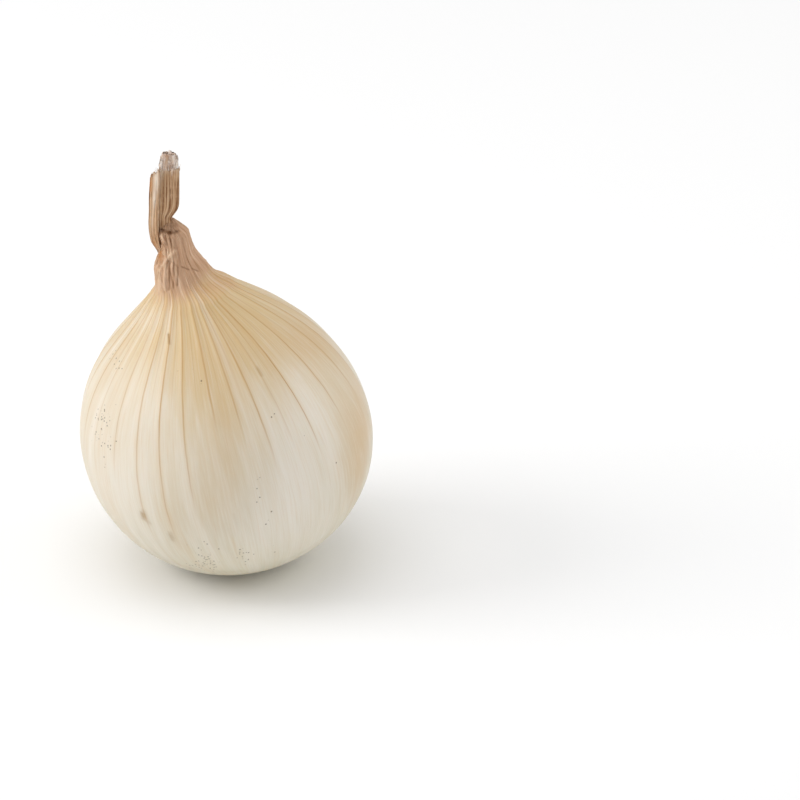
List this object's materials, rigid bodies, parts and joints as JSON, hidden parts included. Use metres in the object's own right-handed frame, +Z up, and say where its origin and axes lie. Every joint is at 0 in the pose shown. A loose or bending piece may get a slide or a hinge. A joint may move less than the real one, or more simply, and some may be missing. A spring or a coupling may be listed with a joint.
{
  "type": "onion",
  "caption": "Whole dry white onion standing on its base, with a withered neck, broken leaf stubs and a root plate of dried root stubs.",
  "frame": {"origin": "on the flat spot that the onion rests on, below the middle of the bulb", "axes": "+Z up from the surface that it stands on; the neck leans to -X; the front, which shows the folds of the neck, faces -Y"},
  "size_m": [0.0801, 0.0792, 0.1258],
  "materials": {
    "skin": "satin, smooth onion skin with fine veins",
    "dry_neck": "matte, dry and deeply folded",
    "dry_leaf": "matte, dry and finely ribbed",
    "dry_strip": "matte, dry, orange brown inside",
    "pale_leaf": "matte, pale and papery",
    "dry_root": "matte, dry root stubs"
  },
  "bodies": {
    "root": {"bulb": "skin", "neck": "dry_neck", "leaf_blade": "dry_leaf", "leaf_strip": "dry_strip", "leaf_tip": "pale_leaf", "root_plate": "dry_root"}
  },
  "joints": []
}
